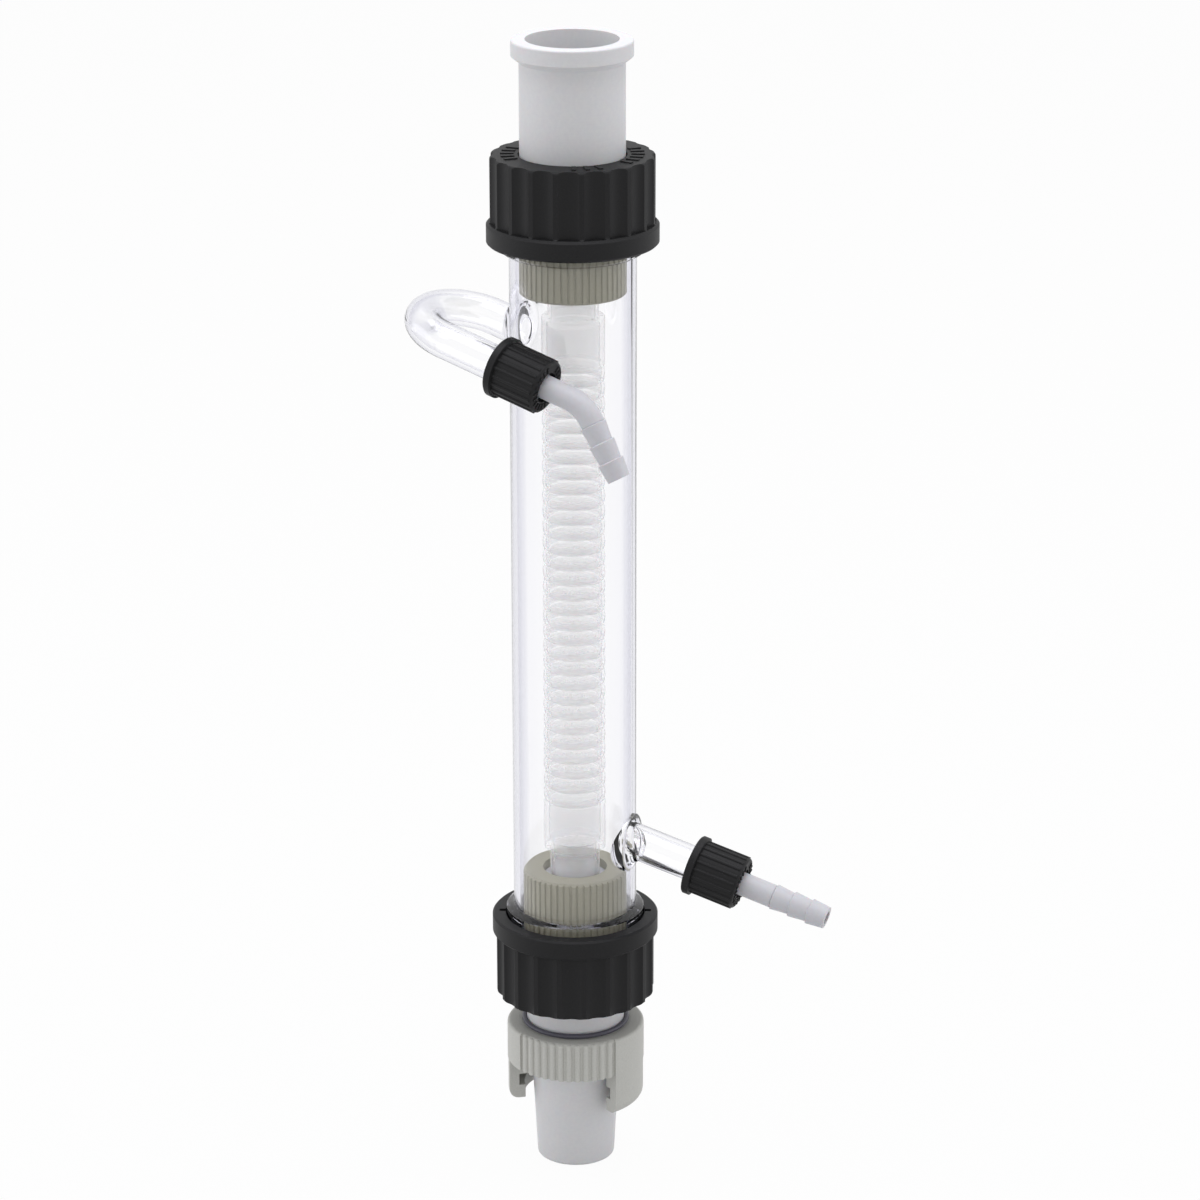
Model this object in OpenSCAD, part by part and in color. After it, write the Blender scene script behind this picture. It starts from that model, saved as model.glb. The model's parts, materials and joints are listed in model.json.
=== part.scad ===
// Liebig condenser with a glass jacket, a corrugated vapour tube and screwed taper joints
// The origin is on the main axis at the end of the lower cone, +Z runs up the axis,
// and the lower water arm leaves along +X.

/* [Layout along the main axis] */
// Length from the cone's end to the lower big cap
cone_exposed = 58.5; // [54:0.5:80]
// Distance between the outer faces of the two big caps
caps_span = 281; // [240:1:400]
// Length from the upper big cap to the socket's rim
socket_exposed = 36; // [34:0.5:60]

/* [Glass jacket] */
// Outer diameter of the jacket tube
jacket_d = 40; // [39:0.5:42]
// Wall of the jacket tube
jacket_wall = 2; // [1.6:0.1:2.2]
// Step in radius from the jacket tube out to the glass neck inside a big cap
neck_step = 1.2; // [1:0.1:1.4]
// Step in radius from the glass neck out to the bead at the mouth of a big cap
bead_step = 1.2; // [0.8:0.1:1.3]
// Length of the bead's straight part
bead_len = 3.2; // [2:0.1:6]
// Reach of the bead into the mouth of a big cap
bead_inset = 1; // [0.5:0.5:1.5]
// Length of the shoulder from the bead to the tube
shoulder_len = 1.4; // [1:0.1:6]

/* [Water arms] */
// Outer diameter of the arm tubes
arm_d = 11.6; // [10.6:0.2:12]
// Wall of the arm tubes
arm_wall = 1.5; // [1.2:0.1:1.6]
// Slope of both arms to the horizontal
arm_tilt = 15; // [0:1:20]
// Size of the fused fillet where an arm meets the jacket
arm_fillet = 3.6; // [1.6:0.1:4]
// Height of the lower arm's root above the lower big cap's outer face
lower_arm_rise = 61; // [56:1:80]
// Length of the lower arm from the main axis to its cap
lower_arm_len = 42.1; // [38:0.1:60]
// Depth of the upper arm's root below the upper big cap's outer face
upper_arm_drop = 63.7; // [56:0.1:80]
// Length of the upper arm from the main axis to its bend
upper_arm_reach = 29; // [27:0.5:50]
// Middle radius of the upper arm's bend
arm_bend_r = 15.4; // [15:0.2:24]
// Length of the upper arm's front leg
upper_leg_len = 20.7; // [16:0.1:40]
// Turn of the upper arm away from the lower arm's plane
upper_arm_turn = 10; // [0:1:30]

/* [Big screw caps] */
// Height of a big cap
cap_h = 28; // [26:0.5:32]
// Wall of a big cap at its ridges
cap_wall = 4.1; // [3.5:0.1:4.8]
// Step in radius from a big cap's ridges out to its flange
cap_flange_step = 1.2; // [0.8:0.1:3]
// Height of a big cap's flange
cap_flange_h = 6.5; // [4:0.5:9]
// Thickness of a big cap's end plate
cap_end_t = 3; // [2:0.5:4]
// Depth of the wide mouth of a big cap
cap_mouth_depth = 3; // [2:0.5:4]
// Number of flutes round a big cap
cap_flutes = 20; // [16:1:24]
// Depth of a flute
flute_depth = 1.3; // [0.6:0.1:1.5]
// Radius of a flute's hollow
flute_r = 5.5; // [4:0.5:9]

/* [Taper joints] */
// Diameter of the ground tapers at their wide end
taper_d = 29.2; // [28:0.1:30]
// Length of the male taper
cone_len = 38; // [30:0.5:42]
// Height of the fine line where the male taper's ground part ends
cone_line_z = 26.6; // [20:0.2:29]
// Depth of the female taper
socket_depth = 32; // [26:0.5:33]
// Diameter of the socket's body
socket_d = 33; // [32.6:0.1:33.4]
// Diameter of the socket's rim
rim_d = 38; // [36:0.5:44]
// Straight height of the socket's rim
rim_h = 5; // [3:0.5:8]
// Diameter of the neck above the release nut
neck_d = 32; // [31.4:0.1:33]
// Diameter of the vapour passage inside the adaptors
passage_d = 14; // [10:0.5:14.5]
// Diameter of the wide bore at the joints' inner ends
inlet_d = 19; // [16:0.5:20]

/* [Clamping inside the jacket] */
// Thickness of the adaptors' clamping collar
collar_t = 4; // [3:0.5:5]
// Distance of the collar's edge inside the glass neck's outside
collar_inset = 0.4; // [0.2:0.1:1]
// Thickness of the flat seal under the collar
cap_seal_t = 1.5; // [1:0.1:2]
// Length of the adaptor's plug in the glass neck
plug_len = 12; // [8:0.5:15]
// Distance from a big cap's outer face to the stem's end
stem_reach = 36.5; // [35:0.5:40]
// Depth of the seat for the vapour tube in the stem
seat_depth = 10.5; // [6:0.5:12]
// Height of the clamping ring
ferrule_h = 4.5; // [3:0.5:6]
// Gap between a union nut's teeth and the jacket
union_gap = 1.2; // [0.8:0.1:2]
// Wall of a union nut, from its thread to the tops of its teeth
union_wall = 3.5; // [3.1:0.1:4]
// Height of a union nut
union_h = 20; // [16:0.5:22]
// Gap between the vapour tube's crests and the hole in a union nut, which slips over them
union_hole_gap = 0.4; // [0.2:0.1:1]
// Thickness of a union nut's end wall
union_end_t = 3; // [2:0.5:4]
// Number of teeth round a union nut
union_teeth = 51; // [40:1:60]

/* [Corrugated tube] */
// Outer diameter of the plain spigots
spigot_d = 16; // [15.4:0.1:16.4]
// Wall of the vapour tube
tube_wall = 1; // [0.8:0.1:1.2]
// Diameter over the corrugations and cuffs
crest_d = 20; // [19:0.2:22]
// Depth of a corrugation
wave_depth = 0.8; // [0.4:0.1:1.2]
// Wanted spacing of the corrugations
wave_pitch = 5; // [4:0.1:7]
// Distance from a big cap's outer face to the cuff
cuff_start = 51; // [46:0.5:60]
// Length of a cuff
cuff_len = 16.5; // [12:0.5:24]

/* [Release nut] */
// Wall of the release nut from its thread to the tops of its ribs
release_wall = 6.6; // [6:0.1:8]
// Height of the release nut's body
release_h = 13; // [11:0.5:15]
// Gap between the release nut and the lower big cap
release_gap = 10.5; // [6:0.5:14]
// Number of ribs that a full circle would hold
release_ribs = 50; // [40:1:60]
// Depth of the ribs
release_rib_depth = 0.8; // [0.5:0.1:1]
// Width of each smooth sector as an angle, from one edge of its claw
smooth_angle = 90; // [82:1:100]
// Width of each claw as an angle
claw_angle = 66; // [50:1:80]
// Length of the claws below the body
claw_len = 14; // [12:0.5:18]
// Thickness of the claws' wall
claw_wall = 3.2; // [2.5:0.1:3.6]
// Reach of the claws' hook inwards from their wall
hook_reach = 2.1; // [1.5:0.1:2.6]
// Height of the hook
hook_h = 4.5; // [3:0.5:6]
// Height of the slot for the mating rim
hook_slot_h = 4; // [3:0.5:5.5]
// Depth of the waist that the release nut's thread is cut in
thread_relief = 0.4; // [0.2:0.1:0.8]
// Thickness of the neck ring's cord
ring_cord = 1.6; // [1.2:0.1:2]

/* [Small screw caps] */
// Height of a small cap
arm_cap_h = 17.5; // [15:0.5:20]
// Diameter over the ribs of a small cap
arm_cap_d = 18; // [17.4:0.1:19]
// Diameter of a small cap's flange
arm_flange_d = 19.6; // [19.4:0.1:22]
// Height of a small cap's flange
arm_flange_h = 2.4; // [1.6:0.1:4]
// Number of ribs round a small cap
arm_cap_ribs = 20; // [14:1:24]
// Diameter of a small cap's rib
arm_rib_d = 1.1; // [0.8:0.1:1.2]
// Diameter of the hole in a small cap
arm_hole_d = 9.8; // [9.2:0.1:10.4]
// Thickness of a small cap's end plate
arm_end_t = 2.3; // [1.5:0.1:3]
// Diameter of the glass thread end in a small cap
arm_neck_d = 13.8; // [13.2:0.1:14]
// Thickness of the flat seal in a small cap
arm_seal_t = 1.2; // [0.8:0.1:1.6]

/* [Hose nozzles] */
// Diameter of a nozzle's plain shank
nozzle_d = 7.6; // [7:0.1:8]
// Diameter of a nozzle's bore
nozzle_bore_d = 4.4; // [3:0.1:5]
// Diameter over the barbs
barb_d = 8.4; // [8:0.1:9]
// Diameter at the small end of a barb
barb_small_d = 7.2; // [6.4:0.1:7.4]
// Length of one barb
barb_len = 6.2; // [5:0.1:8]
// Number of barbs
barbs = 3; // [2:1:5]
// Length of the straight nozzle's plain shank outside its cap
shank_len = 11; // [6:0.5:20]
// Length of the bent nozzle's shank before the bend
bent_shank_len = 8.6; // [5:0.2:14]
// Bend of the upper nozzle
nozzle_bend = 45; // [20:1:75]
// Middle radius of the nozzle's bend
nozzle_bend_r = 12; // [8:0.5:16]
// Length of the bent nozzle's shank after the bend
bent_lead = 1.6; // [1:0.1:6]
// Thickness of a nozzle's clamped collar
nozzle_collar_t = 1.9; // [1.2:0.1:2.4]
// Length of a nozzle's stub inside the glass
nozzle_stub = 7.7; // [3:0.1:8]

/* [Fits] */
// Gap between pieces that turn on each other
turn_gap = 0.5; // [0.3:0.05:0.6]
// Gap between faces that turn on each other
face_gap = 0.05; // [0.02:0.01:0.1]
// Gap between a cap and the glass that it surrounds at its mouth
mouth_gap = 0.4; // [0.3:0.05:0.6]
// Gap between pieces that stay together
slip_gap = 0.3; // [0.1:0.05:0.35]

/* [Hidden] */
$fa = 5;
$fs = 0.5;

// Overshoot that keeps cuts clean
over = 1;
// Ground tapers narrow by a tenth of their length
taper_rate = 0.1;
// Rounding of the larger edges, and of the finer ones
edge_round = 1;
fine_edge = 0.6;

// Stack under a big cap, measured from the cap's outer face into the jacket
collar_z = cap_end_t + face_gap;
seal_z = collar_z + collar_t;
rim_z = seal_z + cap_seal_t;
jacket_r = jacket_d / 2;
jacket_bore_r = jacket_r - jacket_wall;
neck_glass_r = jacket_r + neck_step;
bead_r = neck_glass_r + bead_step;
collar_r = neck_glass_r - collar_inset;
plug_r = jacket_bore_r - slip_gap;
union_r = jacket_bore_r - union_gap;
union_bore_r = union_r - union_wall;
stem_r = union_bore_r - slip_gap;
ferrule_z = stem_reach;
union_wall_z = ferrule_z + ferrule_h;
union_top_z = union_wall_z + union_end_t;
union_z = union_top_z - union_h;
seat_z = stem_reach - seat_depth;
neck_bore_r = neck_glass_r + turn_gap;
mouth_bore_r = bead_r + mouth_gap;
cap_r = neck_bore_r + cap_wall;
cap_flange_r = cap_r + cap_flange_step;
cap_hole_r = socket_d / 2 + turn_gap;
mouth_z = cap_h - cap_mouth_depth;
bead_z = cap_h - bead_inset;
shoulder_z = bead_z + bead_len;

// Stack in a small cap, measured from the flange's face outwards
arm_plate_z = arm_cap_h - arm_end_t;
nozzle_collar_z = arm_plate_z - face_gap - nozzle_collar_t;
arm_seal_z = nozzle_collar_z - face_gap - arm_seal_t;
arm_rim_z = arm_seal_z;
arm_r = arm_d / 2;
arm_bore_r = arm_r - arm_wall;
arm_neck_r = arm_neck_d / 2;
arm_cap_bore_r = arm_neck_r + turn_gap;

// Heights of the arms and of the release nut in the part's frame
upper_face_z = cone_exposed + caps_span;
lower_arm_z = cone_exposed + lower_arm_rise;
upper_arm_z = upper_face_z - upper_arm_drop;
release_top_z = cone_exposed - release_gap;
release_z = release_top_z - release_h;
thread_r = neck_d / 2 - thread_relief;
release_bore_r = thread_r + slip_gap;
release_r = release_bore_r + release_wall;
// A claw's edge is set in a little from its smooth sector's edge
claw_inset = 0.5;
smooth_turn = (smooth_angle - claw_angle) / 2 - claw_inset;

BLACK = "#2d2d2d";
BEIGE = "#a6a68f";
GREY = "#a9aaa3";
WHITE = "#d6d6dc";
CLEAR = [0.86, 0.87, 0.93, 0.35];
MILKY = "#d9d9d9";
DARK = "#3a3646";
AMBER = "#b9552c";

function arc(cx, cy, r, a0, a1, n) =
    [for (i = [0 : n]) [cx + r * cos(a0 + (a1 - a0) * i / n), cy + r * sin(a0 + (a1 - a0) * i / n)]];

// The points of one end of a tube of length span, repeated the other way up at its other end
function other_end(pts, span) =
    [for (i = [len(pts) - 1 : -1 : 0]) [pts[i][0], span - pts[i][1]]];

// Frames: an end frame starts at a big cap's outer face and looks into the jacket
module at_lower_end() {
    translate([0, 0, cone_exposed])
        children();
}

module at_upper_end() {
    translate([0, 0, upper_face_z])
        mirror([0, 0, 1])
            children();
}

// An arm frame starts on the main axis and runs out along the arm, with its X pointing down
module lower_arm_frame() {
    translate([0, 0, lower_arm_z])
        rotate([0, 90 + arm_tilt, 0])
            children();
}

module upper_arm_frame() {
    translate([0, 0, upper_arm_z])
        rotate([0, 0, 180 - upper_arm_turn])
            rotate([0, 90 - arm_tilt, 0])
                children();
}

// A hose frame starts at a small cap's flange and runs out through the nozzle
module at_lower_hose() {
    lower_arm_frame()
        translate([0, 0, lower_arm_len])
            children();
}

module at_upper_hose() {
    upper_arm_frame()
        translate([0, 2 * arm_bend_r, upper_arm_reach - upper_leg_len])
            rotate([180, 0, 0])
                children();
}

// A bent round bar that leaves along +Z and turns towards +X
module elbow(bar_r, bend_r, angle) {
    translate([bend_r, 0, 0])
        rotate([90, 0, 180])
            rotate_extrude(angle = angle)
                translate([bend_r, 0])
                    circle(r = bar_r);
}

// Half a turn of round bar that leaves along +Z and comes back at +Y
module return_bend(bar_r, bend_r) {
    translate([0, bend_r, 0])
        rotate([90, 0, -90])
            rotate_extrude(angle = 180)
                translate([bend_r, 0])
                    circle(r = bar_r);
}

// Glass
function jacket_end() = concat(
    [[0, rim_z]],
    arc(neck_glass_r - edge_round, rim_z + edge_round, edge_round, -90, 0, 4),
    [[neck_glass_r, bead_z - edge_round]],
    arc(bead_r - edge_round, bead_z, edge_round, -60, 0, 3),
    [[bead_r, shoulder_z - edge_round]],
    [for (i = [0 : 6]) [
        jacket_r + (bead_r - jacket_r) / 2 * (1 + cos(180 * i / 6)),
        shoulder_z + shoulder_len * i / 6
    ]]
);

// The flare that the glassblower leaves where an arm is fused to the jacket. It stands square on
// the jacket, level with the tilted arm's axis just outside it.
module arm_root() {
    sink = 0.15;
    base = jacket_r - sink;
    flare_r = arm_r + arm_fillet;
    flare_len = 4 / 3 * arm_fillet;
    end_r = arm_r - slip_gap;
    skirt_r = flare_r + 0.6 * arm_fillet;
    foot = sqrt(pow(jacket_r, 2) - pow(skirt_r, 2)) - 2 * sink;
    steps = 8;
    translate([0, 0, (jacket_r + arm_fillet) * tan(arm_tilt)])
        rotate([0, 90, 0])
            rotate_extrude()
                polygon(concat(
                    [[0, foot], [skirt_r, foot]],
                    [for (i = [0 : steps]) [
                        end_r + (flare_r - end_r) * (1 - sin(90 * i / steps)),
                        base + flare_len * (1 - cos(90 * i / steps))
                    ]],
                    [[0, base + flare_len]]
                ));
}

// The end of an arm in its hose frame: the thread neck that the small cap closes
module arm_neck() {
    lead_in = 1.5;
    rotate_extrude()
        polygon(concat(
            [[0, 0], [arm_r, 0], [arm_neck_r, lead_in]],
            arc(arm_neck_r - fine_edge, arm_rim_z - fine_edge, fine_edge, 0, 90, 3),
            [[0, arm_rim_z]]
        ));
}

module upper_arm_bar(bar_r, start) {
    upper_arm_frame() {
        translate([0, 0, start])
            cylinder(r = bar_r, h = upper_arm_reach - start);
        translate([0, 0, upper_arm_reach])
            return_bend(bar_r, arm_bend_r);
        translate([0, 2 * arm_bend_r, upper_arm_reach - upper_leg_len])
            cylinder(r = bar_r, h = upper_leg_len);
    }
}

module lower_arm_bar(bar_r, start) {
    lower_arm_frame()
        translate([0, 0, start])
            cylinder(r = bar_r, h = lower_arm_len - start);
}

module glass_jacket() {
    arm_start = jacket_bore_r / 2;
    color(CLEAR)
        difference() {
            union() {
                translate([0, 0, cone_exposed])
                    rotate_extrude()
                        polygon(concat(jacket_end(), other_end(jacket_end(), caps_span)));
                lower_arm_bar(arm_r, arm_start);
                upper_arm_bar(arm_r, arm_start);
                translate([0, 0, lower_arm_z])
                    mirror([0, 0, 1])
                        arm_root();
                translate([0, 0, upper_arm_z])
                    rotate([0, 0, 180 - upper_arm_turn])
                        arm_root();
                at_lower_hose()
                    arm_neck();
                at_upper_hose()
                    arm_neck();
            }
            translate([0, 0, cone_exposed])
                cylinder(r = jacket_bore_r, h = caps_span);
            lower_arm_bar(arm_bore_r, arm_start);
            upper_arm_bar(arm_bore_r, arm_start);
            at_lower_hose()
                cylinder(r = arm_bore_r, h = arm_cap_h);
            at_upper_hose()
                cylinder(r = arm_bore_r, h = arm_cap_h);
        }
}

// Adaptors: the outline of the part inside the jacket, from the cap's outer face inwards
function adaptor_inside() = [
    [collar_r, collar_z],
    [collar_r, seal_z],
    [plug_r, seal_z],
    [plug_r, seal_z + plug_len - edge_round],
    [plug_r - edge_round, seal_z + plug_len],
    [stem_r, seal_z + plug_len],
    [stem_r, stem_reach - edge_round],
    [stem_r - edge_round, stem_reach],
    [spigot_d / 2 + slip_gap / 3, stem_reach],
    [spigot_d / 2 + slip_gap / 3, seat_z],
    [passage_d / 2, seat_z]
];

module upper_socket() {
    top_z = -socket_exposed;
    lip = 2;
    inlet_len = 2;
    bottom_z = top_z + socket_depth;
    bottom_r = (taper_d - taper_rate * socket_depth) / 2;
    color(WHITE)
        at_upper_end()
            rotate_extrude()
                polygon(concat(
                    [[taper_d / 2, top_z]],
                    arc(rim_d / 2 - fine_edge, top_z + fine_edge, fine_edge, -90, 0, 3),
                    [
                        [rim_d / 2, top_z + rim_h],
                        [socket_d / 2, top_z + rim_h + lip],
                        [socket_d / 2, collar_z]
                    ],
                    adaptor_inside(),
                    [
                        [passage_d / 2, seal_z],
                        [inlet_d / 2, bottom_z + inlet_len],
                        [inlet_d / 2, bottom_z],
                        [bottom_r, bottom_z]
                    ]
                ));
}

module lower_cone() {
    tip_r = (taper_d - taper_rate * cone_len) / 2;
    line_r = tip_r + cone_line_z * taper_rate / 2;
    step = 0.15;
    color(WHITE)
        rotate_extrude()
            polygon(concat(
                [[inlet_d / 2, 0]],
                arc(tip_r - edge_round, edge_round, edge_round, -90, 0, 4),
                [
                    [line_r, cone_line_z],
                    [line_r + step, cone_line_z + step],
                    [taper_d / 2 + step, cone_len],
                    [thread_r, cone_len],
                    [thread_r, release_top_z],
                    [neck_d / 2, release_top_z],
                    [neck_d / 2, cone_exposed + collar_z]
                ],
                [for (p = adaptor_inside()) [p[0], p[1] + cone_exposed]],
                [
                    [passage_d / 2, cone_exposed],
                    [inlet_d / 2, cone_exposed - (inlet_d - passage_d)]
                ]
            ));
}

// Big caps, in an end frame
function cap_outline() = concat(
    [[cap_hole_r, 0]],
    arc(cap_r - edge_round, edge_round, edge_round, -90, 0, 4),
    [
        [cap_r, cap_h - cap_flange_h - fine_edge],
        [cap_flange_r, cap_h - cap_flange_h + fine_edge],
        [cap_flange_r, cap_h - fine_edge],
        [cap_flange_r - fine_edge, cap_h],
        [mouth_bore_r, cap_h],
        [mouth_bore_r, mouth_z],
        [neck_bore_r, mouth_z - edge_round],
        [neck_bore_r, cap_end_t],
        [cap_hole_r, cap_end_t]
    ]
);

module big_cap() {
    flute_axis_r = cap_r - flute_depth + flute_r;
    flute_end = cap_h - cap_flange_h - fine_edge / 3;
    notch_w = 1.8;
    notch_depth = 2;
    notch_reach = 2;
    notch_angle = 20;
    color(BLACK)
        difference() {
            rotate_extrude()
                polygon(cap_outline());
            for (i = [0 : cap_flutes - 1])
                rotate([0, 0, 360 * i / cap_flutes])
                    translate([flute_axis_r, 0, -over])
                        cylinder(r = flute_r, h = flute_end + over);
            for (side = [0, 180])
                rotate([0, 0, notch_angle + side])
                    translate([0, -notch_w / 2, cap_h - notch_depth])
                        cube([mouth_bore_r + notch_reach, notch_w, notch_depth + over]);
        }
}

module upper_cap() {
    at_upper_end()
        big_cap();
}

module lower_cap() {
    at_lower_end()
        big_cap();
}

// Flat seals between an adaptor's collar and the glass rim
module cap_seal() {
    color(AMBER)
        translate([0, 0, seal_z])
            difference() {
                cylinder(r = collar_r, h = cap_seal_t);
                translate([0, 0, -over])
                    cylinder(r = plug_r + slip_gap, h = cap_seal_t + 2 * over);
            }
}

module upper_cap_seal() {
    at_upper_end()
        cap_seal();
}

module lower_cap_seal() {
    at_lower_end()
        cap_seal();
}

// Union nut: a ring of fine teeth trimmed by a chamfered envelope. A tooth is given as shares of
// its pitch from its middle, with the radius at each share.
function teeth_outline(count, outer_r, inner_r) = [
    for (i = [0 : count - 1])
        for (k = [[-0.3, outer_r], [0.3, outer_r], [0.42, inner_r], [0.58, inner_r]])
            [k[1] * cos(360 * (i + k[0]) / count), k[1] * sin(360 * (i + k[0]) / count)]
];

module union_nut() {
    chamfer = 0.8;
    tooth_depth = 0.45;
    color(BEIGE)
        translate([0, 0, union_z])
            difference() {
                intersection() {
                    linear_extrude(height = union_h)
                        polygon(teeth_outline(union_teeth, union_r, union_r - tooth_depth));
                    rotate_extrude()
                        polygon([
                            [0, 0],
                            [union_r - chamfer, 0],
                            [union_r + over, chamfer + over],
                            [union_r + over, union_h - chamfer - over],
                            [union_r - chamfer, union_h],
                            [0, union_h]
                        ]);
                }
                translate([0, 0, -over])
                    cylinder(r = union_bore_r, h = union_wall_z - union_z + over);
                cylinder(r = crest_d / 2 + union_hole_gap, h = union_h + over);
            }
}

module upper_union_nut() {
    at_upper_end()
        union_nut();
}

module lower_union_nut() {
    at_lower_end()
        union_nut();
}

// Clamping ring: a double cone on the tube's spigot
module ferrule() {
    in_r = spigot_d / 2 + slip_gap / 3;
    middle_r = stem_r - fine_edge;
    front_slope = (middle_r - in_r) / 3;
    back_slope = front_slope / 2;
    color(WHITE)
        translate([0, 0, ferrule_z])
            rotate_extrude()
                polygon([
                    [in_r, 0],
                    [middle_r - front_slope, 0],
                    [middle_r, ferrule_h / 2],
                    [middle_r - back_slope, ferrule_h],
                    [in_r, ferrule_h]
                ]);
}

module upper_ferrule() {
    at_upper_end()
        ferrule();
}

module lower_ferrule() {
    at_lower_end()
        ferrule();
}

// Vapour tube: spigot and cuff at each end, with round crests and narrow roots between
wave_start = cuff_start + cuff_len;
wave_len = caps_span - 2 * wave_start;
waves = round(wave_len / wave_pitch);
wave_step = wave_len / waves;

function wave(outer_r, stops) = [
    for (i = [0 : waves - 1])
        for (t = stops)
            [
                outer_r - wave_depth + wave_depth * sqrt(max(0, 1 - pow(2 * t - 1, 2))),
                wave_start + wave_step * (i + t)
            ]
];

function reversed(pts) = [for (i = [len(pts) - 1 : -1 : 0]) pts[i]];

module corrugated_tube() {
    crest_r = crest_d / 2;
    spigot_r = spigot_d / 2;
    chamfer = 0.6;
    outer_end = [
        [spigot_r, seat_z],
        [spigot_r, cuff_start],
        [crest_r - chamfer, cuff_start],
        [crest_r, cuff_start + chamfer],
        [crest_r, wave_start - chamfer]
    ];
    inner_end = [
        [spigot_r - tube_wall, seat_z],
        [spigot_r - tube_wall, cuff_start + 2 * tube_wall],
        [crest_r - 1.6 * tube_wall, cuff_start + 3 * tube_wall],
        [crest_r - 1.6 * tube_wall, wave_start - chamfer]
    ];
    color(MILKY)
        at_lower_end()
            rotate_extrude()
                polygon(concat(
                    outer_end,
                    wave(crest_r, [0, 0.08, 0.25, 0.5, 0.75, 0.92]),
                    other_end(outer_end, caps_span),
                    reversed(concat(
                        inner_end,
                        wave(crest_r - tube_wall, [0, 0.2, 0.5, 0.8]),
                        other_end(inner_end, caps_span)
                    ))
                ));
}

// Neck ring: an O-ring that rests on the release nut and grips the neck
module neck_ring() {
    cord_r = ring_cord / 2;
    color(DARK)
        translate([0, 0, release_top_z + face_gap + cord_r])
            rotate_extrude()
                translate([neck_d / 2 + cord_r + face_gap, 0])
                    circle(r = cord_r);
}

// Release nut: two smooth sectors that carry the claws, and ribbed sectors between them
module sector(angle) {
    rotate([0, 0, -angle / 2])
        rotate_extrude(angle = angle)
            children();
}

module release_body() {
    core_r = release_r - release_rib_depth;
    bore_edge = 0.7;
    rotate_extrude()
        polygon(concat(
            [[release_bore_r, 0]],
            [[core_r, 0]],
            arc(core_r - edge_round, release_h - edge_round, edge_round, 0, 90, 4),
            [
                [release_bore_r + bore_edge, release_h],
                [release_bore_r, release_h - bore_edge]
            ]
        ));
}

module smooth_sector() {
    inner_r = release_r - release_rib_depth - claw_wall;
    rotate([0, 0, smooth_turn])
        sector(smooth_angle)
            polygon(concat(
                [[inner_r, 0], [release_r, 0]],
                arc(release_r - edge_round, release_h - edge_round, edge_round, 0, 90, 4),
                [[inner_r, release_h]]
            ));
}

module claw() {
    face_step = 0.2;
    outer_r = release_r - face_step;
    inner_r = outer_r - claw_wall;
    hook_r = inner_r - hook_reach;
    corner = 3;
    slot_z = -claw_len + hook_h;
    sector(claw_angle)
        polygon(concat(
            [
                [hook_r, over / 2],
                [hook_r, slot_z + hook_slot_h],
                [inner_r, slot_z + hook_slot_h],
                [inner_r, slot_z],
                [hook_r, slot_z],
                [hook_r, -claw_len]
            ],
            arc(outer_r - corner, -claw_len + corner, corner, -90, 0, 5),
            [[outer_r, over / 2]]
        ));
}

module release_nut() {
    rib_r = 1;
    rib_h = release_h - rib_r - 0.1;
    rib_axis_r = release_r - rib_r;
    step = 360 / release_ribs;
    ribbed = 180 - smooth_angle;
    side_ribs = floor(ribbed / step);
    color(GREY)
        translate([0, 0, release_z]) {
            release_body();
            for (side = [0, 180])
                rotate([0, 0, side]) {
                    smooth_sector();
                    claw();
                    for (i = [0 : side_ribs - 1])
                        rotate([0, 0, smooth_turn + 90 + (i - (side_ribs - 1) / 2) * step])
                            translate([rib_axis_r, 0, 0]) {
                                cylinder(r = rib_r, h = rib_h);
                                translate([0, 0, rib_h])
                                    sphere(r = rib_r);
                            }
                }
        }
}

// Small caps, in a hose frame
module arm_cap() {
    rib_axis_r = (arm_cap_d - arm_rib_d) / 2;
    core_r = rib_axis_r + 0.1;
    end_round = 0.8;
    flange_edge = 0.4;
    rib_start = arm_flange_h / 2;
    rib_end = arm_cap_h - end_round - 0.1;
    color(BLACK)
        difference() {
            union() {
                rotate_extrude()
                    polygon(concat(
                        [
                            [0, 0],
                            [arm_flange_d / 2 - flange_edge, 0],
                            [arm_flange_d / 2, flange_edge],
                            [arm_flange_d / 2, arm_flange_h],
                            [core_r, arm_flange_h + flange_edge]
                        ],
                        arc(core_r - end_round, arm_cap_h - end_round, end_round, 0, 90, 3),
                        [[0, arm_cap_h]]
                    ));
                for (i = [0 : arm_cap_ribs - 1])
                    rotate([0, 0, 360 * i / arm_cap_ribs])
                        translate([rib_axis_r, 0, rib_start])
                            cylinder(d = arm_rib_d, h = rib_end - rib_start);
            }
            translate([0, 0, -over])
                cylinder(r = arm_cap_bore_r, h = arm_plate_z + over);
            cylinder(d = arm_hole_d, h = arm_cap_h + over);
        }
}

module upper_arm_cap() {
    at_upper_hose()
        arm_cap();
}

module lower_arm_cap() {
    at_lower_hose()
        arm_cap();
}

module arm_seal() {
    color(AMBER)
        translate([0, 0, arm_seal_z])
            difference() {
                cylinder(r = arm_neck_r, h = arm_seal_t);
                translate([0, 0, -over])
                    cylinder(r = arm_bore_r, h = arm_seal_t + 2 * over);
            }
}

module upper_arm_seal() {
    at_upper_hose()
        arm_seal();
}

module lower_arm_seal() {
    at_lower_hose()
        arm_seal();
}

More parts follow.
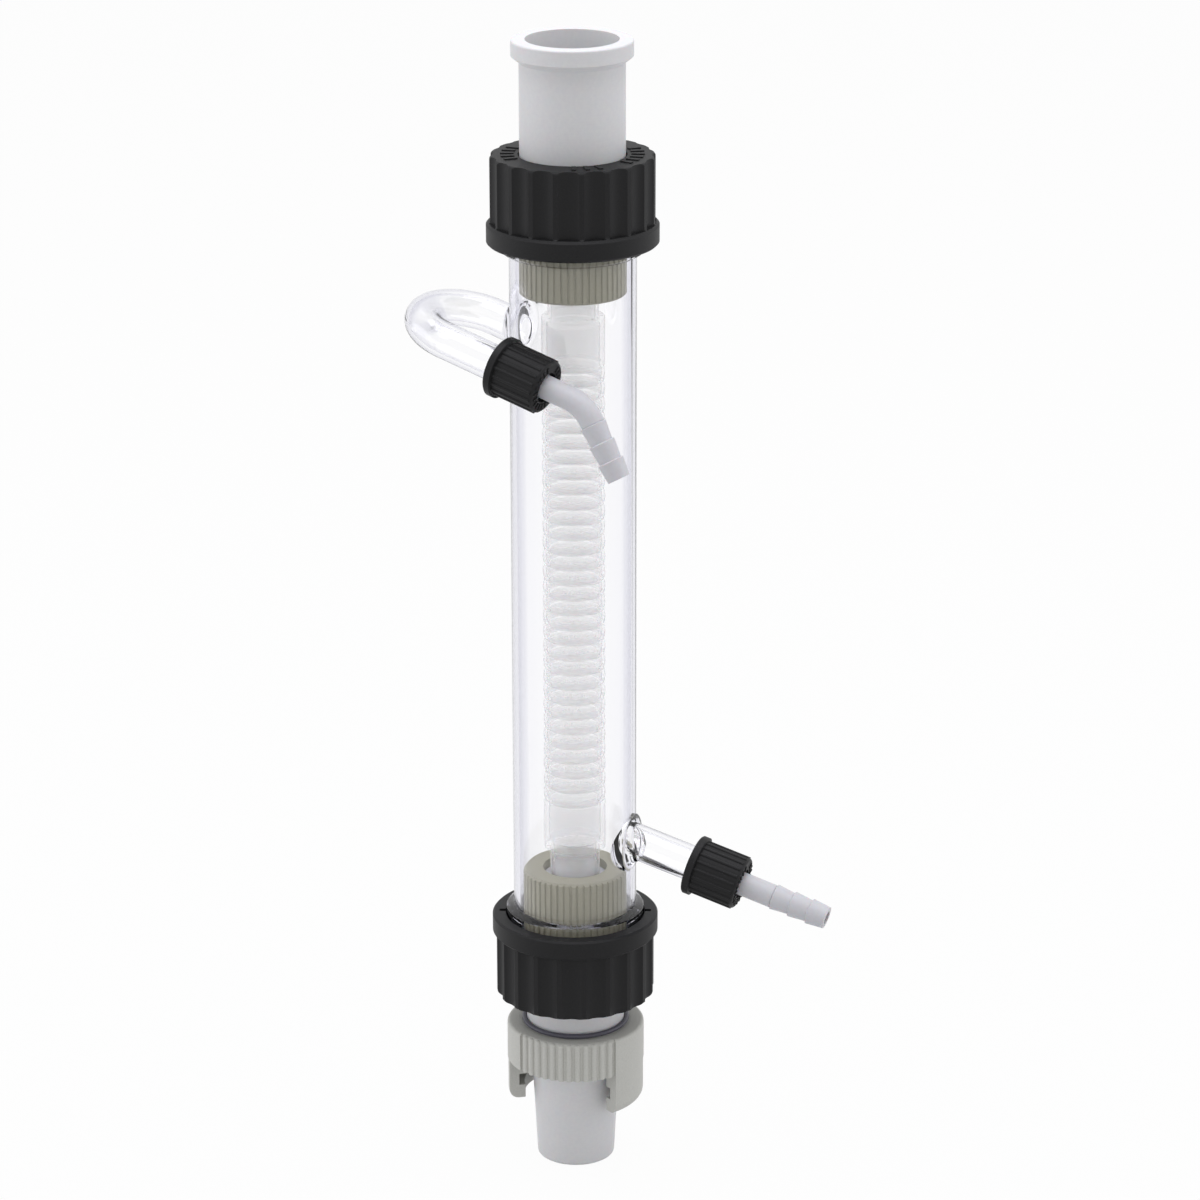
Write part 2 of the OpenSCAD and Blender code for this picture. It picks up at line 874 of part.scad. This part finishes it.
// Nozzles: the clamped foot is the same, and the barbs follow a straight or bent shank
module nozzle_foot(shank_end) {
    stub_r = arm_bore_r - mouth_gap;
    stub_z = nozzle_collar_z - nozzle_stub;
    rotate_extrude()
        polygon([
            [0, stub_z],
            [stub_r - fine_edge / 2, stub_z],
            [stub_r, stub_z + fine_edge],
            [stub_r, nozzle_collar_z],
            [arm_neck_r, nozzle_collar_z],
            [arm_neck_r, nozzle_collar_z + nozzle_collar_t],
            [nozzle_d / 2, nozzle_collar_z + nozzle_collar_t],
            [nozzle_d / 2, shank_end],
            [0, shank_end]
        ]);
}

module barbed_end() {
    undercut = 0.2;
    rise = 0.3;
    lap = 0.5;
    rotate_extrude()
        polygon(concat(
            [[0, -lap], [nozzle_d / 2 - undercut, -lap]],
            [for (i = [0 : barbs - 1]) for (p = [
                [nozzle_d / 2 - undercut, i * barb_len],
                [barb_d / 2, i * barb_len + rise],
                [barb_small_d / 2, (i + 1) * barb_len]
            ]) p],
            [[0, barbs * barb_len]]
        ));
}

module straight_nozzle() {
    shank_end = arm_cap_h + shank_len;
    color(WHITE)
        difference() {
            union() {
                nozzle_foot(shank_end);
                translate([0, 0, shank_end])
                    barbed_end();
            }
            translate([0, 0, nozzle_collar_z - nozzle_stub - over])
                cylinder(d = nozzle_bore_d, h = shank_end + barbs * barb_len + nozzle_stub + 2 * over);
        }
}

module after_bend() {
    translate([nozzle_bend_r, 0, 0])
        rotate([0, nozzle_bend, 0])
            translate([-nozzle_bend_r, 0, 0])
                children();
}

// A bent bar: the bend is a hair thicker than its straight ends, which run a little way into it
module bent_bar(bar_r, lead, tail) {
    lap = 0.5;
    lap_r = 0.03;
    cylinder(r = bar_r, h = lead + lap);
    translate([0, 0, lead]) {
        elbow(bar_r + lap_r, nozzle_bend_r, nozzle_bend);
        after_bend()
            translate([0, 0, -lap])
                cylinder(r = bar_r, h = tail + lap);
    }
}

module bent_nozzle() {
    foot_z = nozzle_collar_z - nozzle_stub;
    bore_start = foot_z - over;
    color(WHITE)
        difference() {
            union() {
                nozzle_foot(arm_cap_h);
                translate([0, 0, arm_plate_z])
                    bent_bar(nozzle_d / 2, arm_end_t + bent_shank_len, bent_lead);
                translate([0, 0, arm_cap_h + bent_shank_len])
                    after_bend()
                        translate([0, 0, bent_lead])
                            barbed_end();
            }
            translate([0, 0, bore_start])
                bent_bar(
                    nozzle_bore_d / 2,
                    arm_cap_h + bent_shank_len - bore_start,
                    bent_lead + barbs * barb_len + over
                );
        }
}

module upper_nozzle() {
    at_upper_hose()
        bent_nozzle();
}

module lower_nozzle() {
    at_lower_hose()
        straight_nozzle();
}

glass_jacket();
upper_socket();
lower_cone();
corrugated_tube();
upper_cap();
lower_cap();
upper_cap_seal();
lower_cap_seal();
upper_union_nut();
lower_union_nut();
upper_ferrule();
lower_ferrule();
neck_ring();
release_nut();
upper_arm_cap();
lower_arm_cap();
upper_arm_seal();
lower_arm_seal();
upper_nozzle();
lower_nozzle();
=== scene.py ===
# %% [markdown]
# # A glass condenser, dressed for the studio
# Hot vapour passes through the corrugated tube in the middle and turns to liquid, cooled by the
# water that runs through the glass jacket round it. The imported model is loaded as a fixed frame:
# every piece is at its real size and in its real place. This script gives each piece the surface
# of the real material, adds the small raised marks that are too fine for the frame, and sets up
# a bright studio with a camera.

# %% Load the frame
import json
import math

import bmesh
import bpy
from mathutils import Matrix, Vector


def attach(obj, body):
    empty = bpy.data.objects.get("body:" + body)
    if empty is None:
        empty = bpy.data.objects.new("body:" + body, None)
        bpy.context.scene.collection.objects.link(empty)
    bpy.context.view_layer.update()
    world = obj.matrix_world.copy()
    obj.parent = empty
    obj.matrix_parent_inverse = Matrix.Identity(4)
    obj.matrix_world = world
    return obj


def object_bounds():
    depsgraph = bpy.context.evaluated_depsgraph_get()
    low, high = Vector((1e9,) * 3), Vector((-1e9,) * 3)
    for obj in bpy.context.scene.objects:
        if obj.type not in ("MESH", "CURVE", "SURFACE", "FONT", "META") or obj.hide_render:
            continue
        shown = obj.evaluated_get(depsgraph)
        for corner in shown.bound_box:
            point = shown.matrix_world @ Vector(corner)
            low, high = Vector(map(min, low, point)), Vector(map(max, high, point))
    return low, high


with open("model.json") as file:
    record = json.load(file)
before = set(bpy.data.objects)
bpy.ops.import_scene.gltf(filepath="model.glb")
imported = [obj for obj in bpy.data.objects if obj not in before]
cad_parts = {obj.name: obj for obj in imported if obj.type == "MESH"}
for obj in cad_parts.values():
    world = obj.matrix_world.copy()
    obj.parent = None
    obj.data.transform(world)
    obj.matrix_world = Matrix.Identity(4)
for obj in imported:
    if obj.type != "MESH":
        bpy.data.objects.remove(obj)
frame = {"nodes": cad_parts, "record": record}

cad_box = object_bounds()
MM = 0.001
scene = bpy.context.scene
print("pieces in the frame:", len(frame["nodes"]))

# %% [markdown]
# ## Camera
# A tall, slim object looks best through a long lens from far away, because its upright lines
# then stay nearly parallel. The camera stands a good metre away and looks a little down on the
# condenser, and the lower arm points to the right and slightly towards it. A camera can be aimed
# by a constraint, but with a place and three turns as plain numbers each can be set on its own.

# %% Camera
CAMERA_AZIMUTH = math.radians(20.5)
CAMERA_PITCH = math.radians(19)
CAMERA_ROLL = math.radians(-0.09)
CAMERA_DISTANCE = 1.329
CAMERA_HEIGHT = 0.6514
CAMERA_RIGHT = 0.00827
LENS_MM = 132
SENSOR_MM = 36

right = Vector((math.cos(CAMERA_AZIMUTH), math.sin(CAMERA_AZIMUTH), 0))
back = Vector((math.sin(CAMERA_AZIMUTH), -math.cos(CAMERA_AZIMUTH), 0))
camera_data = bpy.data.cameras.new("camera")
camera_data.lens = LENS_MM
camera_data.sensor_width = SENSOR_MM
camera = bpy.data.objects.new("camera", camera_data)
scene.collection.objects.link(camera)
camera_spot = CAMERA_RIGHT * right + CAMERA_DISTANCE * back + Vector((0, 0, CAMERA_HEIGHT))
camera_turn = (
    Matrix.Rotation(CAMERA_AZIMUTH, 4, "Z")
    @ Matrix.Rotation(math.pi / 2 - CAMERA_PITCH, 4, "X")
    @ Matrix.Rotation(CAMERA_ROLL, 4, "Z")
)
camera.matrix_world = Matrix.Translation(camera_spot) @ camera_turn
scene.camera = camera
print("camera at", [round(x, 3) for x in camera_spot])

# %% [markdown]
# ## Colours and nodes
# A colour is written as the sRGB hex value that a paint program shows, but Blender counts in
# linear light, so one function turns the first into the second. The world and every material
# are small networks of nodes. They could be wired line by line, but one function that adds a
# node with its values and links keeps each network readable.

# %% Colour and node helpers
def linear(colour):
    """An sRGB hex colour, such as "#d6d6dc", as linear red, green, blue and alpha."""
    parts = [int(colour[i : i + 2], 16) / 255 for i in (1, 3, 5)]
    return [p / 12.92 if p <= 0.04045 else ((p + 0.055) / 1.055) ** 2.4 for p in parts] + [1.0]


def empty_tree(owner):
    """The node tree of a world or material, with nothing in it yet."""
    owner.use_nodes = True
    owner.node_tree.nodes.clear()
    return owner.node_tree


def add_node(tree, kind, inputs=None, links=None, stops=(), **settings):
    """Adds a node with its settings, socket values, links and, on a colour ramp, its stops."""
    node = tree.nodes.new(kind)
    for name, value in settings.items():
        setattr(node, name, value)
    for name, value in (inputs or {}).items():
        node.inputs[name].default_value = value
    for name, source in (links or {}).items():
        tree.links.new(source, node.inputs[name])
    if stops:
        ramp = node.color_ramp.elements
        while len(ramp) < len(stops):
            ramp.new(0.5)
        for stop, (position, colour) in zip(ramp, stops):
            stop.position = position
            stop.color = colour
    return node


print("half-way grey #808080 as linear light:", round(linear("#808080")[0], 3))

# %% [markdown]
# ## Light tent
# Glass and white plastic are shot in a light tent, where soft light comes from all sides. It
# could be modelled as white walls, but a plain world does the same. The background is white,
# also where it is seen in or through the glass. Only what the camera, a reflection or a
# refraction sees is white at full strength, so the white costs the object no shading.

# %% World
WORLD_LIGHT = 0.62
WHITE = linear("#ffffff")


def seen_directly(tree):
    """1 for a ray of the camera, of a reflection or of a refraction, and 0 for soft light."""
    path = add_node(tree, "ShaderNodeLightPath")
    total = path.outputs["Is Camera Ray"]
    for name in ("Is Glossy Ray", "Is Transmission Ray"):
        total = add_node(
            tree, "ShaderNodeMath", operation="MAXIMUM", links={0: total, 1: path.outputs[name]}
        ).outputs[0]
    return total


scene.view_settings.view_transform = "Standard"
world = bpy.data.worlds.new("light_tent")
scene.world = world
tent = empty_tree(world)
soft = add_node(tent, "ShaderNodeBackground", inputs={"Color": WHITE, "Strength": WORLD_LIGHT})
seen = add_node(tent, "ShaderNodeBackground", inputs={"Color": WHITE, "Strength": 1.0})
sky = add_node(
    tent,
    "ShaderNodeMixShader",
    links={0: seen_directly(tent), 1: soft.outputs[0], 2: seen.outputs[0]},
)
add_node(tent, "ShaderNodeOutputWorld", links={"Surface": sky.outputs[0]})
print("soft light from all sides:", WORLD_LIGHT)

# %% [markdown]
# ## Softboxes
# A tent alone is flat. A large round softbox above makes the top faces brighter, and one on the
# left and one on the right make the round bodies brighter towards their edges. Small lamps would
# give hard spots on the glass, so these are more than a metre wide. Their light is a touch
# cooler than the tent's.

# %% Softboxes
LAMP_COLOUR = "#f9f9ff"

# Name, power in watts, width in metres, turn from the camera's side in degrees, distance, height
SOFTBOXES = (
    ("overhead_softbox", 13.0, 1.4, 0, 0.0, 1.5),
    ("left_softbox", 6.5, 1.5, -90, 1.6, 0.35),
    ("right_softbox", 5.0, 1.5, 90, 1.6, 0.35),
)

middle = Vector((0, 0, cad_box[1][2] / 2))
for name, watts, width, turn_deg, distance, height in SOFTBOXES:
    lamp_data = bpy.data.lights.new(name, "AREA")
    lamp_data.shape = "DISK"
    lamp_data.size = width
    lamp_data.energy = watts
    lamp_data.color = linear(LAMP_COLOUR)[:3]
    lamp = bpy.data.objects.new(name, lamp_data)
    aside = Matrix.Rotation(math.radians(turn_deg), 3, "Z") @ back * distance
    spot = aside + Vector((0, 0, height))
    aim = (spot - middle).to_track_quat("Z", "Y").to_matrix().to_4x4()
    lamp.matrix_world = Matrix.Translation(spot) @ aim
    scene.collection.objects.link(lamp)
    print(name, "at", [round(x, 2) for x in spot])

# %% [markdown]
# ## Floor
# The condenser stands on white paper. One large square is enough, since no edge of it shows. It
# lies half a millimetre below the object, so that the two faces don't fight for the same place.
# The paper is matt and mostly shows as plain white, but a small share of it is lit as real paper
# is, and that share holds the object's shadow.

# %% Floor
FLOOR_SIZE = 12
FLOOR_DROP = 0.5 * MM
FLOOR_WHITE = 0.96
PAPER_SHADE = "#d2d2d2"

floor_mesh = bmesh.new()
bmesh.ops.create_grid(floor_mesh, x_segments=1, y_segments=1, size=FLOOR_SIZE / 2)
bmesh.ops.translate(floor_mesh, verts=floor_mesh.verts, vec=(0, 0, -FLOOR_DROP))
floor_data = bpy.data.meshes.new("floor")
floor_mesh.to_mesh(floor_data)
floor_mesh.free()
floor = bpy.data.objects.new("floor", floor_data)
scene.collection.objects.link(floor)

paper = bpy.data.materials.new("white_paper")
sheet = empty_tree(paper)
glow = add_node(
    sheet,
    "ShaderNodeMath",
    operation="MULTIPLY",
    inputs={1: FLOOR_WHITE},
    links={0: seen_directly(sheet)},
)
matt = add_node(sheet, "ShaderNodeBsdfDiffuse", inputs={"Color": linear(PAPER_SHADE)})
lit = add_node(sheet, "ShaderNodeEmission", inputs={"Strength": 1.0})
both = add_node(
    sheet, "ShaderNodeMixShader", links={0: glow.outputs[0], 1: matt.outputs[0], 2: lit.outputs[0]}
)
add_node(sheet, "ShaderNodeOutputMaterial", links={"Surface": both.outputs[0]})
floor_data.materials.append(paper)
print("floor:", FLOOR_SIZE, "m wide")

# %% [markdown]
# ## Borosilicate glass
# The jacket is drawn tube, fire polished, with its arms fused on in the flame. It is clear face
# on, with a lavender cast along its edges, where the eye looks through a long stretch of wall.
# The wall has its real thickness in the frame, so a refracting shader bends the light as the
# real wall does. Absorption alone leaves the edges too pale at this size, so a colour ramp on
# the facing angle adds painted shade that darkens the edges to grey lavender. The light of lamps
# goes straight through, because refracted lamp light would stay noisy.

# %% Borosilicate glass
GLASS_IOR = 1.473
GLASS_TINT = "#c3c2e2"
GLASS_DENSITY = 9.0
GLASS_SHADOW = "#f6f6fa"
# With this blend, facing runs from 0, face on, to 1, edge on, as 1 less the angle's cosine
PLAIN_BLEND = 0.5
# The glass's colour from face on to edge on: a lavender tint, darkened to grey at the edge as
# painted shade
EDGE_TINT_AND_PAINTED_SHADE = (
    (0.0, "#ffffff"),
    (0.45, "#fbfbfd"),
    (0.57, "#dfdfe8"),
    (0.86, "#c9c9d5"),
    (1.0, "#a4a4b0"),
)


def borosilicate_glass():
    """Clear glass with faintly lavender edges, from absorption and painted shade, that lets lamps
    through.
    """
    material = bpy.data.materials.new("borosilicate_glass")
    tree = empty_tree(material)
    facing = add_node(tree, "ShaderNodeLayerWeight", inputs={"Blend": PLAIN_BLEND})
    edge = add_node(
        tree,
        "ShaderNodeValToRGB",
        links={"Fac": facing.outputs["Facing"]},
        stops=[(position, linear(shade)) for position, shade in EDGE_TINT_AND_PAINTED_SHADE],
    )
    glass = add_node(
        tree,
        "ShaderNodeBsdfPrincipled",
        inputs={"Roughness": 0.0, "IOR": GLASS_IOR, "Transmission Weight": 1.0},
        links={"Base Color": edge.outputs["Color"]},
    )
    clear = add_node(tree, "ShaderNodeBsdfTransparent", inputs={"Color": linear(GLASS_SHADOW)})
    path = add_node(tree, "ShaderNodeLightPath")
    mixed = add_node(
        tree,
        "ShaderNodeMixShader",
        links={0: path.outputs["Is Shadow Ray"], 1: glass.outputs[0], 2: clear.outputs[0]},
    )
    absorb = add_node(
        tree,
        "ShaderNodeVolumeAbsorption",
        inputs={"Color": linear(GLASS_TINT), "Density": GLASS_DENSITY},
    )
    add_node(
        tree,
        "ShaderNodeOutputMaterial",
        links={"Surface": mixed.outputs[0], "Volume": absorb.outputs[0]},
    )
    return material


FINISHES = {"jacket_glass": borosilicate_glass()}
print("glass with", len(EDGE_TINT_AND_PAINTED_SHADE), "shades from face on to edge on")

# %% [markdown]
# ## Light in the corrugations
# The vapour tube is PTFE only about a millimetre thick, formed into waves so that it has more
# surface. Its slopes catch more or less of the light from above, and show as paler and darker
# bands. Scattering inside the wall could show this, but in so thin a wall it is slow and noisy.
# So a slope is found from the direction that the surface faces in the object's own coordinates,
# and turned into a tone.

# %% Light in the corrugations
# The normal's upward part at which the tone is fully that of a slope, and the two tones: painted
# light, paler, on slopes that face up, and painted shade, darker, on slopes that face down
FULL_SLOPE = 0.3
UPWARD_PAINTED_LIGHT = 0.1
DOWNWARD_PAINTED_SHADE = 1.8
# How much a slope counts on the wall's inside, against 1 on its outside
INSIDE_SHARE = -0.4
# The lower spigot's tone, which falls to 1 between these two heights
SPIGOT_TONE = 3.6
SPIGOT_LOW = 99 * MM
SPIGOT_HIGH = 108 * MM


def wave_tone(tree, place):
    """How solid the wall looks, as painted light and shade: less on slopes that face up, and more
    on those that face down.

    The wall's inside points the opposite way, so there the slope counts the other way round, and
    less. The lower spigot is more solid, because the cone's stem stands round it.
    """
    normal = place.outputs["Normal"]
    across = add_node(
        tree,
        "ShaderNodeVectorMath",
        operation="MULTIPLY",
        inputs={1: (1, 1, 0)},
        links={0: place.outputs["Object"]},
    )
    outwards = add_node(
        tree,
        "ShaderNodeVectorMath",
        operation="DOT_PRODUCT",
        links={0: normal, 1: across.outputs[0]},
    )
    sign = add_node(tree, "ShaderNodeMath", operation="SIGN", links={0: outwards.outputs["Value"]})
    side = add_node(
        tree,
        "ShaderNodeMath",
        operation="MULTIPLY_ADD",
        inputs={1: (1 - INSIDE_SHARE) / 2, 2: (1 + INSIDE_SHARE) / 2},
        links={0: sign.outputs[0]},
    )
    parts = add_node(tree, "ShaderNodeSeparateXYZ", links={0: normal})
    slope = add_node(
        tree,
        "ShaderNodeMath",
        operation="MULTIPLY",
        links={0: parts.outputs["Z"], 1: side.outputs[0]},
    )
    tone = add_node(
        tree,
        "ShaderNodeMapRange",
        inputs={
            "From Min": -FULL_SLOPE,
            "From Max": FULL_SLOPE,
            "To Min": DOWNWARD_PAINTED_SHADE,
            "To Max": UPWARD_PAINTED_LIGHT,
        },
        links={"Value": slope.outputs[0]},
    )
    spot = add_node(tree, "ShaderNodeSeparateXYZ", links={0: place.outputs["Object"]})
    low_end = add_node(
        tree,
        "ShaderNodeMapRange",
        inputs={
            "From Min": SPIGOT_LOW,
            "From Max": SPIGOT_HIGH,
            "To Min": SPIGOT_TONE,
            "To Max": 1.0,
        },
        links={"Value": spot.outputs["Z"]},
    )
    return add_node(
        tree,
        "ShaderNodeMath",
        operation="MULTIPLY",
        links={0: tone.outputs[0], 1: low_end.outputs[0]},
    ).outputs[0]


print("a slope's tone goes from", DOWNWARD_PAINTED_SHADE, "facing down to", UPWARD_PAINTED_LIGHT, "facing up")

# %% [markdown]
# ## A wall that shows what is behind it
# So thin a PTFE wall is milky: the eye sees partly the wall and partly what is behind it, and
# more of the wall where it is seen edge on, through more plastic. The plastic could be given
# real haze, but a mix with a transparent shader is faster and free of noise. Its share follows
# the facing angle, times the tone of the waves.

# %% A wall that shows what is behind it
# How solid the wall looks, from face on (0) to edge on (1)
THIN_WALL = ((0.0, 0.22), (0.4, 0.22), (0.5, 0.15), (0.7, 0.17), (0.85, 0.5), (1.0, 0.9))


def wall_share(tree, place):
    """How much of a thin wall is seen, from 0 to 1, against what is behind it."""
    facing = add_node(tree, "ShaderNodeLayerWeight", inputs={"Blend": PLAIN_BLEND})
    solid = add_node(
        tree,
        "ShaderNodeValToRGB",
        links={"Fac": facing.outputs["Facing"]},
        stops=[(position, (share, share, share, 1)) for position, share in THIN_WALL],
    )
    return add_node(
        tree,
        "ShaderNodeMath",
        operation="MULTIPLY",
        use_clamp=True,
        links={0: solid.outputs[0], 1: wave_tone(tree, place)},
    ).outputs[0]


print("a wall seen face on is", THIN_WALL[0][1], "solid, and seen edge on", THIN_WALL[-1][1])

# %% [markdown]
# ## Plastics
# Every plastic here has a fine grain, left by a mould or a cutting tool. It could be painted as
# an image, but noise in the material has no seams and its scale comes from a size in
# millimetres. The same noise moves the colour between two close shades, varies the gloss and
# lifts the surface by about a hundredth of a millimetre. A turned part also has fine rings round
# the main axis.

# %% Plastics
GRAIN_DETAIL = 3.0
# The noise values at which the colour is fully the one shade or the other
GRAIN_LOW = 0.35
GRAIN_HIGH = 0.65
ROUGHNESS_SPREAD = 0.06
RING_WOBBLE = 0.3
# A wave texture runs through this many radians a unit at scale 1
WAVE_RATE = 20


def plastic(
    name, colour, shade, roughness, grain_mm, bump_mm, feed_mm=0, thin_wall=False, **sockets
):
    """Plastic with a fine grain that moves its colour between two shades and roughens it.

    feed_mm is the spacing of the rings that a lathe leaves round the main axis, and a thin wall
    lets what is behind it show through.
    """
    material = bpy.data.materials.new(name)
    tree = empty_tree(material)
    place = add_node(tree, "ShaderNodeTexCoord")
    grain = add_node(
        tree,
        "ShaderNodeTexNoise",
        inputs={"Scale": 1 / (grain_mm * MM), "Detail": GRAIN_DETAIL},
        links={"Vector": place.outputs["Object"]},
    )
    tone = add_node(
        tree,
        "ShaderNodeValToRGB",
        links={"Fac": grain.outputs["Fac"]},
        stops=[(GRAIN_LOW, linear(shade)), (GRAIN_HIGH, linear(colour))],
    )
    rough = add_node(
        tree,
        "ShaderNodeMapRange",
        inputs={"To Min": roughness - ROUGHNESS_SPREAD, "To Max": roughness + ROUGHNESS_SPREAD},
        links={"Value": grain.outputs["Fac"]},
    )
    height = grain.outputs["Fac"]
    if feed_mm:
        rings = add_node(
            tree,
            "ShaderNodeTexWave",
            bands_direction="Z",
            inputs={
                "Scale": math.tau / WAVE_RATE / (feed_mm * MM),
                "Distortion": RING_WOBBLE,
            },
            links={"Vector": place.outputs["Object"]},
        )
        height = add_node(
            tree, "ShaderNodeMath", operation="ADD", links={0: height, 1: rings.outputs["Fac"]}
        ).outputs[0]
    bump = add_node(
        tree,
        "ShaderNodeBump",
        inputs={"Distance": bump_mm * MM, "Strength": 1.0},
        links={"Height": height},
    )
    surface = add_node(
        tree,
        "ShaderNodeBsdfPrincipled",
        inputs=sockets,
        links={
            "Base Color": tone.outputs["Color"],
            "Roughness": rough.outputs[0],
            "Normal": bump.outputs[0],
        },
    ).outputs[0]
    if thin_wall:
        through = add_node(tree, "ShaderNodeBsdfTransparent")
        surface = add_node(
            tree,
            "ShaderNodeMixShader",
            links={0: wall_share(tree, place), 1: through.outputs[0], 2: surface},
        ).outputs[0]
    add_node(tree, "ShaderNodeOutputMaterial", links={"Surface": surface})
    return material


print("gloss varies by", ROUGHNESS_SPREAD, "to each side")

# %% [markdown]
# ## White PTFE
# The socket, the cone, the ferrules and the nozzles are turned from a white bar of PTFE, and the
# corrugated tube is the same plastic with a thin wall. PTFE is waxy: softly glossy, with a low
# IOR, and it lets a little light in, so its shadows are soft. Its rings are drawn 0.9 mm apart,
# coarser than a lathe leaves them, so that they show close up. The nozzles' colour is painted
# slightly darker, as painted shade on the same PTFE, and they go without rings, because they
# don't stand on the main axis.

# %% White PTFE
soft_white = {"IOR": 1.38, "Subsurface Weight": 0.15, "Subsurface Scale": 0.002}

FINISHES["white_ptfe"] = plastic(
    "turned_ptfe", "#dcdcdd", "#d9d9db",
    roughness=0.42, grain_mm=1.2, bump_mm=0.006, feed_mm=0.9, **soft_white,
)
# The nozzles' colours are painted darker than the turned PTFE's: painted shade on the same plastic
FINISHES["white_nozzle"] = plastic(
    "ptfe_nozzle_painted_darker", "#cbcbd0", "#c8c8cc",
    roughness=0.42, grain_mm=1.2, bump_mm=0.006, **soft_white,
)
FINISHES["milky_tube"] = plastic(
    "thin_ptfe_tube", "#eeeeee", "#e8e8e8",
    roughness=0.38, grain_mm=1.5, bump_mm=0.01, thin_wall=True, **soft_white,
)
print("PTFE finishes: turned, turned nozzle and thin tube")

# %% [markdown]
# ## Moulded plastics
# The screw caps are moulded in black plastic in a mould with a fine spark-eroded grain, which
# breaks up the gloss and leaves them dull. The nuts are moulded in a plastic filled with short
# fibres, beige inside the jacket and grey at the lower end, and their surface is a little
# mottled. Both kinds could be one flat colour, but the grain is what tells moulded plastic from
# paint.

# %% Moulded plastics
dull_black = {"IOR": 1.5, "Specular IOR Level": 0.2}
filled = {"IOR": 1.5, "Specular IOR Level": 0.3}

FINISHES["black_cap"] = plastic(
    "moulded_black_cap", "#1e1e1f", "#171718",
    roughness=0.52, grain_mm=0.35, bump_mm=0.015, **dull_black,
)
FINISHES["beige_nut"] = plastic(
    "fibre_filled_nut", "#a3a08c", "#999682",
    roughness=0.5, grain_mm=0.5, bump_mm=0.02, **filled,
)
FINISHES["grey_nut"] = plastic(
    "moulded_grey_nut", "#c5c5bf", "#bebeb8",
    roughness=0.5, grain_mm=0.5, bump_mm=0.015, **filled,
)
print("moulded finishes: black cap, beige nut and grey nut")

# %% [markdown]
# ## Rubber
# The flat seals inside the caps are dark silicone, and the ring round the lower neck is dark
# purple-grey and a little glossier. They could share the black of the caps, but they are greyer,
# and their lower IOR keeps their gloss faint. With them all finishes are there, and each piece of
# the frame gets the one that its record names.

# %% Rubber, and each piece gets its finish
FINISHES["flat_seal"] = plastic(
    "dark_silicone_seal", "#4a484f", "#424047",
    roughness=0.55, grain_mm=0.6, bump_mm=0.01, IOR=1.41,
)
FINISHES["dark_ring"] = plastic(
    "dark_neck_ring", "#5c5b66", "#53525c",
    roughness=0.4, grain_mm=0.4, bump_mm=0.01, IOR=1.38,
)

for row in frame["record"]["subparts"]:
    data = frame["nodes"][row["node"]].data
    data.materials.clear()
    data.materials.append(FINISHES[row["material_slot"]])

# %% [markdown]
# ## Raised marks on the caps
# A moulded screw cap carries small raised marks on its end face. Here they are plain bars with
# no meaning, in short rows round the hole. They could be a bump in the material, but real shapes
# also catch the light from the side. Each bar starts as a cube, gets bevelled edges and is
# turned to its place in the ring, so all the bars of a cap are one piece that turns with it.

# %% Bars on the caps
# How deep a bar stands in the face, and how much of its height its bevel takes
BAR_SINK = 0.1 * MM
BEVEL_SHARE = 1 / 3
# Each row's middle in degrees round the cap, and its number of bars
BAR_ROWS = ((19, 5), (123, 3), (193, 6), (285, 5))
# A bar's inner and outer end from the cap's axis, its width and height, and the step to the next
BIG_CAP_BARS = {
    "inner_r": 18.2 * MM, "outer_r": 22.4 * MM, "width": 1.5 * MM, "height": 0.4 * MM,
    "step_deg": 11,
}
SMALL_CAP_BARS = {
    "inner_r": 5.4 * MM, "outer_r": 7.5 * MM, "width": 0.8 * MM, "height": 0.35 * MM,
    "step_deg": 17,
}


def raised_bars(cap, joint, inner_r, outer_r, width, height, step_deg):
    """Rows of raised bars round the hole in a cap's end face."""
    axis = Vector(joint["axis"]).normalized()
    pivot = Vector(joint["pos_m"])
    face = max((v.co - pivot).dot(axis) for v in frame["nodes"][cap].data.vertices)
    upright = axis.to_track_quat("Z", "Y").to_matrix().to_4x4()
    on_face = Matrix.Translation(pivot + face * axis) @ upright
    in_row = Matrix.Translation(((inner_r + outer_r) / 2, 0, (height - BAR_SINK) / 2))
    marks = bmesh.new()
    for row_deg, bars in BAR_ROWS:
        for i in range(bars):
            made = bmesh.ops.create_cube(marks, size=1)["verts"]
            bmesh.ops.scale(
                marks, verts=made, vec=(outer_r - inner_r, width, height + BAR_SINK)
            )
            rounded = bmesh.ops.bevel(
                marks,
                geom=list({e for v in made for e in v.link_edges}),
                offset=height * BEVEL_SHARE,
                segments=1,
                profile=0.5,
                affect="EDGES",
                material=-1,
            )
            angle = math.radians(row_deg + (i - (bars - 1) / 2) * step_deg)
            bmesh.ops.transform(
                marks,
                verts=rounded["verts"],
                matrix=on_face @ Matrix.Rotation(angle, 4, "Z") @ in_row,
            )
    data = bpy.data.meshes.new(cap + "_marks")
    marks.to_mesh(data)
    marks.free()
    data.materials.append(FINISHES["black_cap"])
    piece = bpy.data.objects.new(cap + "_marks", data)
    scene.collection.objects.link(piece)
    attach(piece, cap)


joints = {joint["name"]: joint for joint in frame["record"]["behaviour"]["joints"]}
for cap in ("upper_cap", "lower_cap"):
    raised_bars(cap, joints[cap + "_turn"], **BIG_CAP_BARS)
for cap in ("upper_arm_cap", "lower_arm_cap"):
    raised_bars(cap, joints[cap + "_turn"], **SMALL_CAP_BARS)
print("caps with raised bars: 4, bars on each cap:", sum(bars for row_deg, bars in BAR_ROWS))
